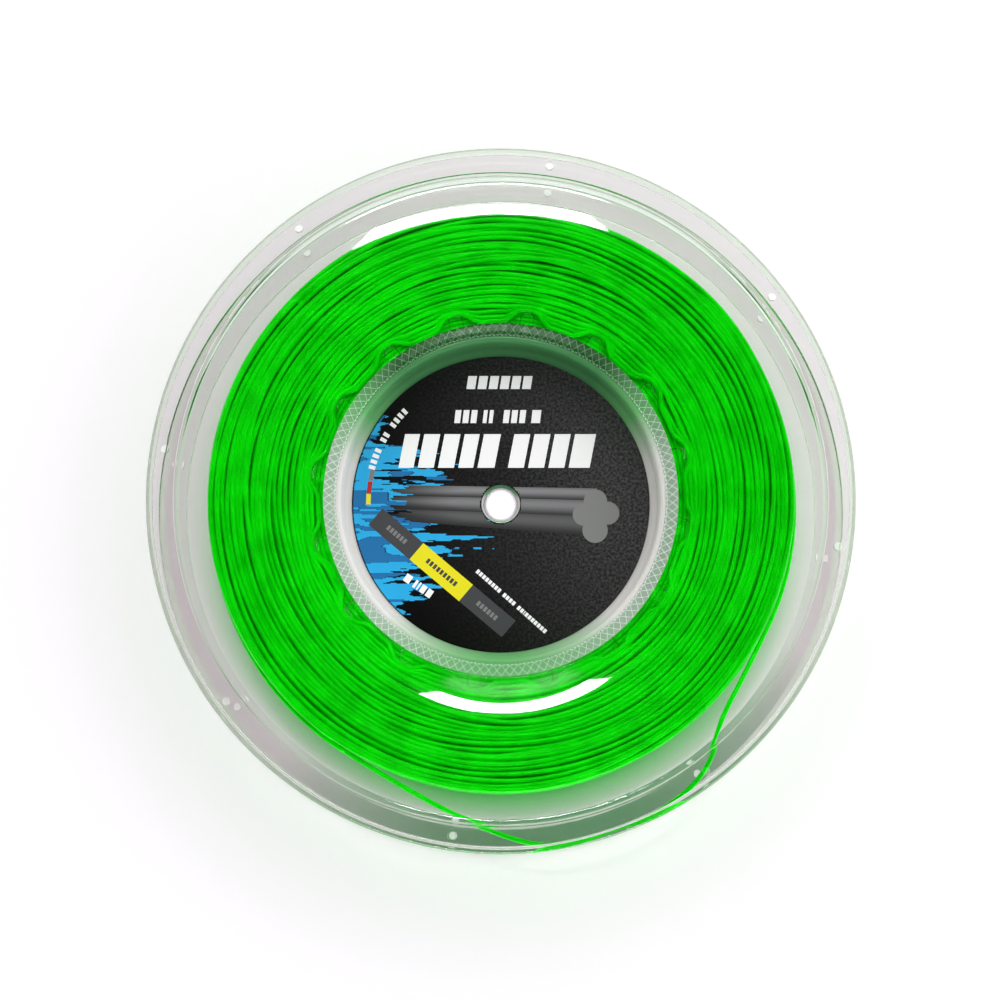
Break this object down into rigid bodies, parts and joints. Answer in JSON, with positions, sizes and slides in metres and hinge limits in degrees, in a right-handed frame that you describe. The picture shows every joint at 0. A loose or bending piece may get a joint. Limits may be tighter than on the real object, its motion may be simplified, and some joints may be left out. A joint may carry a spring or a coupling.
{
  "type": "tennis string reel",
  "caption": "Clear plastic tennis string reel with a recessed printed hub and a full package of bright green monofilament string, one slack turn lying in the groove.",
  "frame": {"origin": "on the reel's axis, in the plane the rear flange's rim band rests on", "axes": "+Z along the reel's axis towards the printed front side, +Y towards the top of the front label, +X to its right"},
  "size_m": [0.172, 0.172, 0.032],
  "materials": {
    "reel_plastic": "clear, glossy",
    "barrel_plastic": "clear, satin",
    "string": "glossy, slightly translucent",
    "label_print": "satin, laminated"
  },
  "bodies": {
    "root": {"rear_flange": "reel_plastic", "front_flange": "reel_plastic", "hub_barrel": "barrel_plastic", "rear_hub_cap": "reel_plastic", "front_hub_cap": "reel_plastic", "rear_label": "label_print", "front_label": "label_print", "string_winding": "string", "string_tail": "string"}
  },
  "joints": []
}
